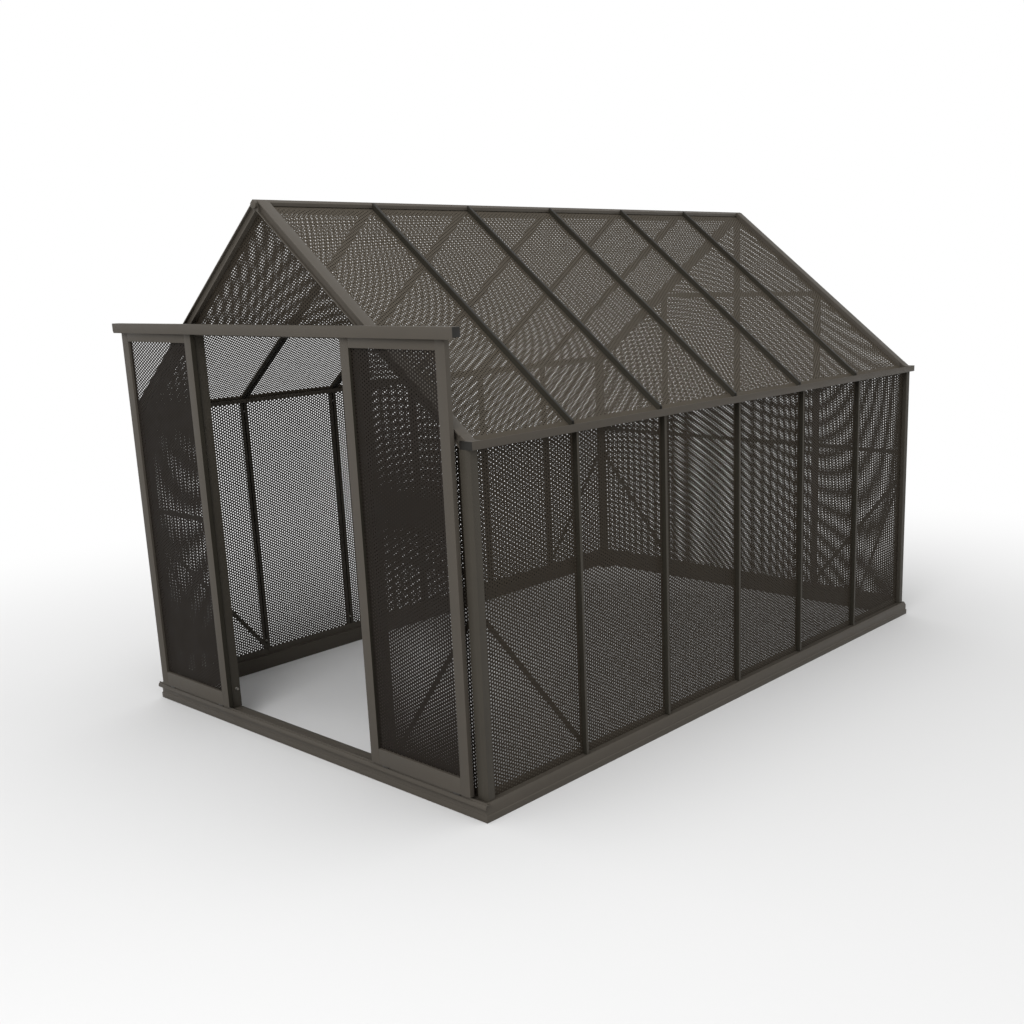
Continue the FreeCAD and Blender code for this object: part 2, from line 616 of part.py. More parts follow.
braces = []
side_strip = brace_line("post_inset", "bay + brace_lap")
for side, turn, start_line, end_line in (("right", 0, "front_line", "rear_line"),
                                         ("left", 180, "rear_line", "front_line")):
    for line, strip in ((start_line, side_strip), (end_line, mirrored(side_strip))):
        brace = piece("brace_%s_%s" % (side, line[:-5]), y=line, turn=turn, node=False)
        prism(brace, "YZ_Plane", "half_x + flange_in - strip_thick", "half_x + flange_in", [strip])
        braces.append(brace)
for line, turn, foot_end in (("rear_line", 180, "bay - brace_lap"), ("front_line", 0, jamb_face)):
    gable_strip = brace_line(post_face, foot_end)
    for index, strip in enumerate((gable_strip, mirrored(gable_strip)), start=1):
        brace = piece("brace_%s_%d" % (line[:-5], index), y=line, turn=turn, node=False)
        prism(brace, "XZ_Plane", "-flange_in", "strip_thick - flange_in", [strip])
        braces.append(brace)
group("wind_braces", braces)

# Header track: a channel with a slot underneath and a skirt in front, its end caps, and spacers to the
# front rail.
header = piece("door_header_track", y="front_line")
header_top = "header_height + header_tall"
header_floor = "header_height + header_wall"
header_ceiling = "header_height + header_tall - header_wall"
skirt_foot = "header_height - header_skirt"
track = [("-header_reach", skirt_foot), ("header_wall - header_reach", skirt_foot),
         ("header_wall - header_reach", "header_height"),
         ("-slot_front", "header_height"), ("-slot_front", header_floor),
         ("header_wall - header_reach", header_floor), ("header_wall - header_reach", header_ceiling),
         ("-header_back - header_wall", header_ceiling), ("-header_back - header_wall", header_floor),
         ("-slot_back", header_floor), ("-slot_back", "header_height"), ("-header_back", "header_height"),
         ("-header_back", header_top), ("-header_reach", header_top)]
track_half = "header_half - cap_thick"
prism(header, "YZ_Plane", "-(%s)" % track_half, track_half, [track])
header_caps = []
for side, start, stop in (("right", track_half, "header_half"),
                          ("left", "-header_half", "-(%s)" % track_half)):
    cap = piece("header_cap_" + side, y="front_line", node=False)
    prism(cap, "YZ_Plane", start, stop, [box("-header_reach", "header_height", "-header_back", header_top)])
    header_caps.append(cap)
group("header_end_caps", header_caps)
spacers = []
by_jamb = "bay - spacer_width / 2"
for index, x in enumerate(("-(%s)" % by_jamb, "-bay / 2", "0", "bay / 2", by_jamb), start=1):
    spacer = piece("header_spacer_%d" % index, x=x, y="front_line", node=False)
    prism(spacer, "XZ_Plane", "-header_back", "-face_reach",
          [box("-spacer_width / 2", "header_height", "spacer_width / 2", "rail_top")])
    spacers.append(spacer)
group("header_spacers", spacers)

# Sill guide: a folded strip on the sill's ledge, with a fin that the doors' shoes straddle.
fin_out = "door_middle + guide_thick / 2"
fin_in = "door_middle - guide_thick / 2"
ledge_out = "face_reach + guide_ledge"
nose = "face_reach + guide_ledge + guide_nose"
guide_section = [
    ("face_reach", "base_height"), ("face_reach", "guide_top"), (fin_in, "guide_top"),
    (fin_in, "guide_top + fin_height"), (fin_out, "guide_top + fin_height"), (fin_out, "guide_top"),
    (ledge_out, "guide_top"), (nose, "guide_top - guide_drop"), (nose, "guide_top - guide_drop - guide_lip"),
    (nose + " - guide_thick", "guide_top - guide_drop - guide_lip"),
    (nose + " - guide_thick", "base_height - guide_drop"), (ledge_out + " - guide_thick / 2", "base_height")]
guide = piece("sill_guide", y="front_line")
guide_half = "half_x + guide_over"
prism(guide, "YZ_Plane", "-(%s)" % guide_half, guide_half,
      [[("-(%s)" % reach, level) for reach, level in guide_section]])


# Doors: hollow stiles and rails round a sheet, on two hangers with rollers and two guide shoes.
def door(side, sign, rest):
    """One leaf; rest is the distance of its inner edge from the middle, as it stands open."""
    place = {"x": "%d * (%s)" % (sign, rest), "y": "front_line"}

    def span(start, stop):
        return (start, stop) if sign > 0 else ("-(%s)" % stop, "-(%s)" % start)

    def hollow_box(low_a, low_b, high_a, high_b):
        inner = [low + " + door_wall" for low in (low_a, low_b)] + [
            high + " - door_wall" for high in (high_a, high_b)]
        return [box(low_a, low_b, high_a, high_b), box(*inner)]

    stiles = {"inner": ("0", "door_stile"), "outer": ("door_width - door_stile", "door_width")}
    for name, (start, stop) in stiles.items():
        stile = piece("%s_door_%s_stile" % (side, name), **place)
        low, high = span(start, stop)
        prism(stile, "XY_Plane", "door_bottom", "door_top",
              hollow_box(low, "-door_front", high, "-door_back"))
    rails = {"top": ("door_top - door_top_rail", "door_top"),
             "bottom": ("door_bottom", "door_bottom + door_bottom_rail")}
    for name, (bottom, top) in rails.items():
        rail = piece("%s_door_%s_rail" % (side, name), **place)
        prism(rail, "YZ_Plane", *span("door_stile", "door_width - door_stile"),
              hollow_box("-door_front", bottom, "-door_back", top))
    panel = piece("%s_door_panel" % side, **place)
    low, high = span("door_stile", "door_width - door_stile")
    prism(panel, "XZ_Plane", "-door_middle - panel_thick / 2", "panel_thick / 2 - door_middle",
          [box(low, "door_bottom + door_bottom_rail", high, "door_top - door_top_rail")])

    hangers = []
    shoes = []
    ends = {"inner": "hanger_inset", "outer": "door_width - hanger_inset"}
    for name, along in ends.items():
        centre = {"x": "%d * ((%s) + (%s))" % (sign, rest, along), "y": "front_line"}
        hanger = piece("%s_hanger_%s" % (side, name), node=False, **centre)
        half = "hanger_width / 2"
        prism(hanger, "XZ_Plane", "-door_front", "hanger_foot_depth - door_front",
              [box("-" + half, "door_top", half, "door_top + hanger_foot")])
        prism(hanger, "XZ_Plane", "-door_front", "hanger_thick - door_front",
              [box("-" + half, "door_top", half, "axle_level + hanger_top")])
        prism(hanger, "XZ_Plane", "side_play - roller_back", "-door_front",
              circles=[("0", "axle_level", "collar_radius")])
        prism(hanger, "XZ_Plane", "-roller_front - side_play", "-door_front",
              circles=[("0", "axle_level", "axle_radius")])
        prism(hanger, "XZ_Plane", "-roller_front - side_play - axle_head", "-roller_front - side_play",
              circles=[("0", "axle_level", "collar_radius")])
        hangers.append(hanger)
        roller = piece("%s_door_roller_%s" % (side, name), **centre)
        prism(roller, "XZ_Plane", "-roller_front", "-roller_back",
              circles=[("0", "axle_level", "roller_radius"), ("0", "axle_level", "axle_radius + axle_play")])
        shoe = piece("%s_shoe_%s" % (side, name), node=False, **centre)
        groove = "guide_thick / 2 + shoe_play"
        cheek = "guide_thick / 2 + shoe_play + shoe_side"
        under = "door_bottom - shoe_roof"
        sole = "door_bottom - shoe_roof - shoe_leg"
        section = [("-(%s)" % cheek, sole), ("-(%s)" % groove, sole), ("-(%s)" % groove, under),
                   (groove, under), (groove, sole), (cheek, sole), (cheek, "door_bottom"),
                   ("-(%s)" % cheek, "door_bottom")]
        prism(shoe, "YZ_Plane", "-shoe_length / 2", "shoe_length / 2",
              [[("%s - door_middle" % a, b) for a, b in section]])
        shoes.append(shoe)
    group("%s_door_hangers" % side, hangers)
    group("%s_door_shoes" % side, shoes)


door("left", -1, "bay - left_short")
door("right", 1, "bay - right_short")

# Frame bolts: heads on the inner flanges near each bar's foot and top, and a long one on each jamb.
bolts = []
levels = ("upstand_top + bolt_from_end", "eaves_bottom - bolt_from_end")
for line in lines[1:-1]:
    for level in levels:
        bolts.append(bolt("half_x + flange_in", line, level, (-1, 0, 0)))
        bolts.append(bolt("-half_x - flange_in", line, level, (1, 0, 0)))
for share in (-1, 0, 1):
    for level in levels:
        bolts.append(bolt("%d * bay" % share, "rear_line + flange_in", level, (0, -1, 0)))
for sign in (1, -1):
    bolts.append(bolt("%d * (bay - jamb_width / 2)" % sign, "front_line", "jamb_bolt_level", (-sign, 0, 0),
                      "jamb_bolt_radius", "jamb_bolt_length"))
group("frame_bolts", bolts)

doc.recompute()

for thing in doc.Objects:
    if "Invalid" in thing.State or "Error" in thing.State:
        raise RuntimeError("%s did not recompute" % thing.Label)
    if thing.TypeId == "PartDesign::Pocket" and thing.Shape.Volume > thing.BaseFeature.Shape.Volume - 1:
        raise RuntimeError("%s cuts nothing" % thing.Label)
for node in nodes:
    if node.Shape.isNull() or not node.Shape.isValid():
        raise RuntimeError("%s has no valid shape" % node.Label)

os.makedirs("parts", exist_ok=True)
for node in nodes:
    node.Shape.exportStep("parts/%s.step" % node.Label)
print("%d nodes, %d solids" % (len(nodes), sum(len(node.Shape.Solids) for node in nodes)))
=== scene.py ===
"""Dressed shade house: soft-edged powder-coated bars, pierced sheets, running gear and a studio stage."""

import json
import math

import bpy
from mathutils import Matrix, Vector

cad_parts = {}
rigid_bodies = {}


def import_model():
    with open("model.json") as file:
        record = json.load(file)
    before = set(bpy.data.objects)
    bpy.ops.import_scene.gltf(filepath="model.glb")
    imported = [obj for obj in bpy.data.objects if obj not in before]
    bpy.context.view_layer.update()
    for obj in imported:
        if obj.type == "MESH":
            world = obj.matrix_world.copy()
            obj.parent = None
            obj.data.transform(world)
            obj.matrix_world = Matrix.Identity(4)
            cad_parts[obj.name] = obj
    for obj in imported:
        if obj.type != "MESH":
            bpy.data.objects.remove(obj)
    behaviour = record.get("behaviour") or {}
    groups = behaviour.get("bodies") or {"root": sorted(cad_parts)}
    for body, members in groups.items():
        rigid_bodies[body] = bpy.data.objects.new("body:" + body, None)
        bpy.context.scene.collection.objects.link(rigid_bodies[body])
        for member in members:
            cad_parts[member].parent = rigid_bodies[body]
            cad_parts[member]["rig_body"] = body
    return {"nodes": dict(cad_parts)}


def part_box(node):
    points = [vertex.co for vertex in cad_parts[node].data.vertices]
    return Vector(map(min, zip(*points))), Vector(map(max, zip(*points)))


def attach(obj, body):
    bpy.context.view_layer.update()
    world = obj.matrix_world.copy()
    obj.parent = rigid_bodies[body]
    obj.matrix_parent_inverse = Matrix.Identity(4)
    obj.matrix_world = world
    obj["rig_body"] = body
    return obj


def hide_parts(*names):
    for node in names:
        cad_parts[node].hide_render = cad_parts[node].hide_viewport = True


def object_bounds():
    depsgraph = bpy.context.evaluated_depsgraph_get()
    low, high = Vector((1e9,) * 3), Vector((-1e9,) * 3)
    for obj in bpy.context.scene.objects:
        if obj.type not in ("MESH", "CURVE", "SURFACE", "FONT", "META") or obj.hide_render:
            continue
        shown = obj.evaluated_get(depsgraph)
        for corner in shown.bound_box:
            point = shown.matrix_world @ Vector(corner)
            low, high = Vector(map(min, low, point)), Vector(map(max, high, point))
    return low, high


bl_info = {
    "name": "Shade House",
    "version": (1, 0, 0),
    "blender": (4, 5, 0),
    "location": "View3D > Sidebar > Shade House",
    "description": "Builds the dressed shade house on its packed frame",
    "category": "Object",
}

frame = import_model()
cad_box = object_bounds()

SIDES = ("left", "right")


def linear(hex_code):
    """An sRGB hex colour as linear red, green, blue and alpha."""
    channels = [int(hex_code[start:start + 2], 16) / 255 for start in (1, 3, 5)]
    return [c / 12.92 if c <= 0.04045 else ((c + 0.055) / 1.055) ** 2.4 for c in channels] + [1.0]


def length(name, description, default):
    return bpy.props.FloatProperty(name=name, description=description, default=default, min=0.0001,
                                   precision=4, subtype="DISTANCE", unit="LENGTH")


def colour(name, description, hex_code):
    return bpy.props.FloatVectorProperty(name=name, description=description, default=linear(hex_code),
                                         size=4, min=0, max=1, subtype="COLOR")


def angle(name, description, degrees):
    return bpy.props.FloatProperty(name=name, description=description, default=math.radians(degrees),
                                   subtype="ANGLE", unit="ROTATION")


class ShadeHouseSheets(bpy.types.PropertyGroup):
    """The pierced sheets."""

    hole_pitch: length("Hole pitch", "Distance between neighbouring holes", 0.016)
    hole_width: length("Hole width", "Width of a hole across its corners", 0.0084)
    plain_edge: length("Plain edge", "Unpierced margin of the roof sheets along the gutter", 0.045)
    coat: colour("Sheet coat", "Powder coat on the pierced sheets of walls and gables", "#2e2820")
    # The doors' darker sheet coat is painted shade for the shade seen behind and through them.
    door_coat: colour("Door sheet coat", "Powder coat on the pierced sheets of the doors", "#1f1a15")
    # The roof sheets' lighter coat is painted light for the brighter look of the roof under light from
    # above.
    roof_painted_light_coat: colour("Roof sheet coat", "The same coat on the roof sheets, paled by the sun", "#443e35")


class ShadeHouseFrame(bpy.types.PropertyGroup):
    """The bars, rails and fittings."""

    heavy_edge: length("Heavy edge", "Rounding on the edges of beams, posts and door stiles", 0.0009)
    light_edge: length("Light edge", "Rounding on the edges of bars, strips and fittings", 0.0007)
    coat: colour("Frame coat", "Powder coat on the beams, rails and doors", "#48433c")
    # The uprights' darker coat is painted shade for the shade on the posts and bars.
    upright_painted_shade_coat: colour("Upright coat", "Powder coat on the posts and glazing bars", "#3b3730")
    capping: colour("Capping", "Plastic capping along the roof bars", "#1c1a15")
    # This dark colour is painted shade on the side faces of the bars and the doors' meeting edges.
    seal: colour("Seals", "Rubber seals on the glazing bars and the doors' meeting edges", "#2b2821")
    caps: colour("End caps", "Plastic of the end caps", "#191713")
    nylon: colour("Rollers", "Nylon of the rollers and shoes", "#2b2824")
    steel: colour("Fasteners", "Plated steel of the bolts and hangers", "#8d8a84")


class ShadeHouseStage(bpy.types.PropertyGroup):
    """The floor, the light and the camera."""

    eye: bpy.props.FloatVectorProperty(name="Camera place", description="Where the camera stands",
                                       default=(4.6421, -5.0314, 2.2309), subtype="TRANSLATION",
                                       unit="LENGTH")
    turn: angle("Camera turn", "Turn of the view to the left of the ridge line", 41.33)
    dip: angle("Camera dip", "Downward tilt of the view", 13.635)
    roll: angle("Camera roll", "Roll of the view about its own axis", -1.784)
    focal: bpy.props.FloatProperty(name="Focal length", description="Focal length on a 36 mm frame",
                                   default=41.89, subtype="DISTANCE_CAMERA", unit="CAMERA")
    aside: bpy.props.FloatProperty(name="Shift across", description="Sideways shift of the frame",
                                   default=-0.0722)
    above: bpy.props.FloatProperty(name="Shift up", description="Upward shift of the frame", default=0.0466)
    floor: colour("Floor", "Matt floor paint", "#dcdcdc")
    sky: bpy.props.FloatProperty(name="Room light", description="Strength of the even light all round",
                                 default=0.9, min=0)
    key: bpy.props.FloatProperty(name="Key light", description="Power of the large lamp in front",
                                 default=300.0, min=0, unit="POWER")
    overhead: bpy.props.FloatProperty(name="Overhead light", description="Power of the soft box above",
                                      default=150.0, min=0, unit="POWER")


def deselect():
    """Leaves nothing selected, so that the next operator acts on its own piece alone."""
    if bpy.context.object and bpy.context.object.mode != "OBJECT":
        bpy.ops.object.mode_set(mode="OBJECT")
    bpy.ops.object.select_all(action="DESELECT")


def take_up(piece):
    """Makes one piece the only selected object and the active one."""
    deselect()
    piece.select_set(True)
    bpy.context.view_layer.objects.active = piece


def pick(piece, kind, test):
    """Enters edit mode with only those points, edges or faces selected whose middle passes the test."""
    take_up(piece)
    bpy.ops.object.mode_set(mode="EDIT")
    bpy.ops.mesh.select_mode(type=kind)
    bpy.ops.mesh.select_all(action="DESELECT")
    bpy.ops.object.mode_set(mode="OBJECT")
    mesh = piece.data
    if kind == "VERT":
        for point in mesh.vertices:
            point.select = test(point.co)
    elif kind == "EDGE":
        for edge in mesh.edges:
            first, second = (mesh.vertices[index].co for index in edge.vertices)
            edge.select = test((first + second) / 2)
    else:
        for face in mesh.polygons:
            face.select = test(face.center)
    bpy.ops.object.mode_set(mode="EDIT")


def settle(piece):
    """Puts a piece's place into its mesh, so that its object sits at the origin."""
    take_up(piece)
    bpy.ops.object.transform_apply(location=True, rotation=True, scale=True)


def dress(piece, kinds, node):
    """Coats a piece and sets it on the body of the CAD node that it stands for."""
    piece.data.materials.clear()
    for kind in kinds:
        piece.data.materials.append(finish(kind))
    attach(piece, frame["nodes"][node]["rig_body"])
    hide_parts(node)


def add(tree, kind, sockets=(), **settings):
    """Adds a node with its settings, and fills its inputs with values or with other nodes' outputs."""
    node = tree.nodes.new(kind)
    for name, value in settings.items():
        setattr(node, name, value)
    for key, value in dict(sockets).items():
        if isinstance(value, bpy.types.NodeSocket):
            tree.links.new(value, node.inputs[key])
        else:
            node.inputs[key].default_value = value
    return node


def blank_material(name):
    """A new material with an empty node tree."""
    material = bpy.data.materials.new(name)
    material.use_nodes = True
    material.node_tree.nodes.clear()
    return material, material.node_tree


def shade(tone, factor):
    """The same linear colour, lighter or darker."""
    return [min(1.0, channel * factor) for channel in tone[:3]] + [1.0]


# Blender's noise lies mostly between these two levels, and the sum of two noises between the others.
NOISE = {"From Min": 0.3, "From Max": 0.7}
TWO_NOISES = {"From Min": 0.7, "From Max": 1.3}

# Width of the slow drift and of the finer clouds of tone in a coat, in metres.
DRIFT_WIDTH = 0.45
CLOUD_WIDTH = 0.06
GRAIN_STRENGTH = 0.35

# The coats and plastics: where their colour is set, the roughness between which they vary, their specular
# level, the width and depth of their grain in millimetres, and the share by which their tone drifts.
FINISHES = {
    # Powder on extruded bar: satin bronze; its 1 mm orange peel is drawn at 6 mm so that it shows.
    "powder_coated_extrusion": {"group": "frame", "tone": "coat", "rough": (0.5, 0.6), "specular": 0.2,
                                "grain": 6, "depth": 0.12, "drift": 0.06},
    # The same powder on the posts and glazing bars, darker: painted shade for the shade that falls on these
    # thin members beside the sheets.
    "powder_coated_glazing_bar": {"group": "frame", "tone": "upright_painted_shade_coat", "rough": (0.5, 0.6),
                                  "specular": 0.2, "grain": 6, "depth": 0.12, "drift": 0.06},
    # Powder on punched sheet: nearly black bronze, dull where the punch pulled the surface in.
    "powder_coated_punched_sheet": {"group": "sheets", "tone": "coat", "rough": (0.62, 0.74),
                                    "specular": 0.15, "grain": 8, "depth": 0.15, "drift": 0.08},
    # The same on the doors, darker: painted shade for the darker look of the doors against the shade behind
    # them.
    "powder_coated_door_sheet": {"group": "sheets", "tone": "door_coat", "rough": (0.62, 0.74),
                                 "specular": 0.15, "grain": 8, "depth": 0.15, "drift": 0.08},
    # The same powder on the roof, lighter: painted light for the brighter look of the roof under light from
    # above. It is also a little rougher.
    "powder_coated_roof_sheet": {"group": "sheets", "tone": "roof_painted_light_coat", "rough": (0.66, 0.78),
                                 "specular": 0.15, "grain": 8, "depth": 0.15, "drift": 0.08},
    # Extruded PVC: a soft dark strip that caps the roof bars, smoother than the powder beside it.
    "extruded_pvc_capping": {"group": "frame", "tone": "capping", "rough": (0.46, 0.56), "specular": 0.2,
                             "grain": 10, "depth": 0.06, "drift": 0.05},
    # Painted shade on the side faces of the bars and on the doors' meeting edges: dark and dry, with a faint
    # bloom.
    "extruded_rubber_seal": {"group": "frame", "tone": "seal", "rough": (0.7, 0.85), "specular": 0.15,
                             "grain": 4, "depth": 0.1, "drift": 0.12},
    # Injection-moulded polypropylene: almost black, with a fine spark-eroded grain drawn at 3 mm.
    "moulded_polypropylene": {"group": "frame", "tone": "caps", "rough": (0.5, 0.6), "specular": 0.3,
                              "grain": 3, "depth": 0.2, "drift": 0.1},
    # The same plastic tinted to the frame's bronze, for the ends of the ridge.
    "tinted_polypropylene": {"group": "frame", "tone": "coat", "rough": (0.5, 0.6), "specular": 0.2,
                             "grain": 3, "depth": 0.2, "drift": 0.1},
    # Turned nylon: dark and waxy, with faint tool marks.
    "turned_nylon": {"group": "frame", "tone": "nylon", "rough": (0.32, 0.42), "specular": 0.4,
                     "grain": 2, "depth": 0.08, "drift": 0.08},
}


def finish(kind):
    """One of the part's finishes, made the first time that it is asked for."""
    if kind in bpy.data.materials:
        return bpy.data.materials[kind]
    if kind not in FINISHES:
        return plated(kind, bpy.context.scene.shade_house_frame.steel)
    look = FINISHES[kind]
    settings = getattr(bpy.context.scene, "shade_house_" + look["group"])
    return coated(kind, getattr(settings, look["tone"]), look)


def coated(name, tone, look):
    """Stoved powder or plastic: satin, with a faint grain and a slow drift of tone."""
    material, tree = blank_material(name)
    place = add(tree, "ShaderNodeTexCoord").outputs["Object"]
    slow = add(tree, "ShaderNodeTexNoise", {"Vector": place, "Scale": 1 / DRIFT_WIDTH, "Detail": 3.0})
    cloud = add(tree, "ShaderNodeTexNoise", {"Vector": place, "Scale": 1 / CLOUD_WIDTH, "Detail": 4.0})
    both = add(tree, "ShaderNodeMath", {0: slow.outputs["Fac"], 1: cloud.outputs["Fac"]}, operation="ADD")
    part = add(tree, "ShaderNodeMapRange", {"Value": both.outputs[0], **TWO_NOISES})
    ramp = add(tree, "ShaderNodeMix", {"Factor": part.outputs[0], 6: shade(tone, 1 - look["drift"]),
                                       7: shade(tone, 1 + look["drift"])}, data_type="RGBA")
    grain = add(tree, "ShaderNodeTexNoise", {"Vector": place, "Scale": 1000 / look["grain"], "Detail": 2.0})
    low, high = look["rough"]
    gloss = add(tree, "ShaderNodeMapRange", {"Value": cloud.outputs["Fac"], **NOISE, "To Min": low,
                                             "To Max": high})
    bump = add(tree, "ShaderNodeBump", {"Height": grain.outputs["Fac"], "Strength": GRAIN_STRENGTH,
                                        "Distance": look["depth"] / 1000})
    shader = add(tree, "ShaderNodeBsdfPrincipled", {"Base Color": ramp.outputs[2],
                                                    "Roughness": gloss.outputs[0],
                                                    "Specular IOR Level": look["specular"],
                                                    "Normal": bump.outputs[0], "IOR": 1.5})
    add(tree, "ShaderNodeOutputMaterial", {"Surface": shader.outputs[0]})
    return material


# Width of the zinc's crystals and of the smears on it, in millimetres.
SPANGLE_WIDTH = 3
SMEAR_WIDTH = 12


def plated(name, tone):
    """Zinc-plated steel: a metal whose bright skin is broken into crystals and dulled by handling."""
    material, tree = blank_material(name)
    place = add(tree, "ShaderNodeTexCoord").outputs["Object"]
    spangle = add(tree, "ShaderNodeTexVoronoi", {"Vector": place, "Scale": 1000 / SPANGLE_WIDTH})
    smear = add(tree, "ShaderNodeTexNoise", {"Vector": place, "Scale": 1000 / SMEAR_WIDTH, "Detail": 3.0})
    skin = add(tree, "ShaderNodeMix", {"Factor": spangle.outputs["Distance"], 6: shade(tone, 0.85),
                                       7: shade(tone, 1.1)}, data_type="RGBA")
    gloss = add(tree, "ShaderNodeMapRange", {"Value": smear.outputs["Fac"], **NOISE, "To Min": 0.3,
                                             "To Max": 0.5})
    shader = add(tree, "ShaderNodeBsdfPrincipled", {"Base Color": skin.outputs[2], "Metallic": 1.0,
                                                    "Roughness": gloss.outputs[0]})
    add(tree, "ShaderNodeOutputMaterial", {"Surface": shader.outputs[0]})
    return material


def seen_rays(tree, path):
    """One for what the camera sees straight, in a gloss or through glass, and nothing for other light."""
    seen = add(tree, "ShaderNodeMath", {0: path.outputs["Is Camera Ray"], 1: path.outputs["Is Glossy Ray"]},
               operation="MAXIMUM")
    seen = add(tree, "ShaderNodeMath", {0: seen.outputs[0], 1: path.outputs["Is Transmission Ray"]},
               operation="MAXIMUM")
    return seen.outputs[0]


# Points of the CAD mesh closer than this are one point, and faces that turn less than this are one face.
WELD = 0.00002
FLAT_TURN = math.radians(1)
# An edge that turns more than this is sharp, and a face whose normal reaches this far along an axis is
# square on to it.
SHARP_TURN = math.radians(30)
SQUARE_ON = 0.9


def rounded(node, edge, kind, shaded_axis=None):
    """A copy of a CAD node with its sharp edges rounded as a drawn or moulded piece has them.

    The faces that look along the given axis are coloured dark: painted shade along the sides of the bars and
    the doors' meeting edges.
    """
    piece = bpy.data.objects.new(node + "_rounded", frame["nodes"][node].data.copy())
    bpy.context.collection.objects.link(piece)
    take_up(piece)
    bpy.ops.object.mode_set(mode="EDIT")
    bpy.ops.mesh.select_all(action="SELECT")
    bpy.ops.mesh.remove_doubles(threshold=WELD)
    bpy.ops.mesh.dissolve_limited(angle_limit=FLAT_TURN)
    bpy.ops.object.mode_set(mode="OBJECT")
    bpy.ops.object.shade_smooth()
    bevel = piece.modifiers.new("Rounded edges", "BEVEL")
    bevel.width = edge
    bevel.segments = 2
    bevel.limit_method = "ANGLE"
    bevel.angle_limit = SHARP_TURN
    bevel.use_clamp_overlap = False
    bevel.harden_normals = True
    bpy.ops.object.modifier_apply(modifier=bevel.name)
    if shaded_axis is None:
        dress(piece, [kind], node)
        return
    # Faces square on to the axis take the painted shade.
    dress(piece, [kind, "extruded_rubber_seal"], node)
    for face in piece.data.polygons:
        face.material_index = int(abs(face.normal[shaded_axis]) > SQUARE_ON)


def corners(node):
    """The corner points of each separate solid in a CAD node."""
    mesh = frame["nodes"][node].data
    home = {}
    for face in mesh.polygons:
        keys = [tuple(round(value, 5) for value in mesh.vertices[index].co) for index in face.vertices]
        roots = []
        for key in keys:
            home.setdefault(key, key)
            while home[key] != key:
                key = home[key]
            roots.append(key)
        for root in roots:
            home[root] = roots[0]
    solids = {}
    for key in home:
        root = key
        while home[root] != root:
            root = home[root]
        solids.setdefault(root, []).append(Vector(key))

    def middle(points):
        return tuple(round(value, 3) for value in sum(points, Vector()) / len(points))

    return sorted(solids.values(), key=middle)


def rim(points):
    """The convex outline round points of a plane, anticlockwise, with no point along a straight side."""
    ordered = sorted(points)
    outline = []
    for run in (ordered, ordered[::-1]):
        chain = []
        for point in run:
            while len(chain) > 1:
                (ax, ay), (bx, by) = chain[-2:]
                if (bx - ax) * (point[1] - ay) - (by - ay) * (point[0] - ax) > 1e-6:
                    break
                chain.pop()
            chain.append(point)
        outline += chain[:-1]
    return [Vector((*point, 0)) for point in outline]


ROOT_3 = math.sqrt(3)

# First hole of each door sheet, from its lower left corner. An open door's holes then line up with those
# of the fixed sheet behind it over wide patches, which let the inside show through.
DOOR_PUNCHING = {"left": (0.007, 0.006), "right": (0.008, 0.002)}


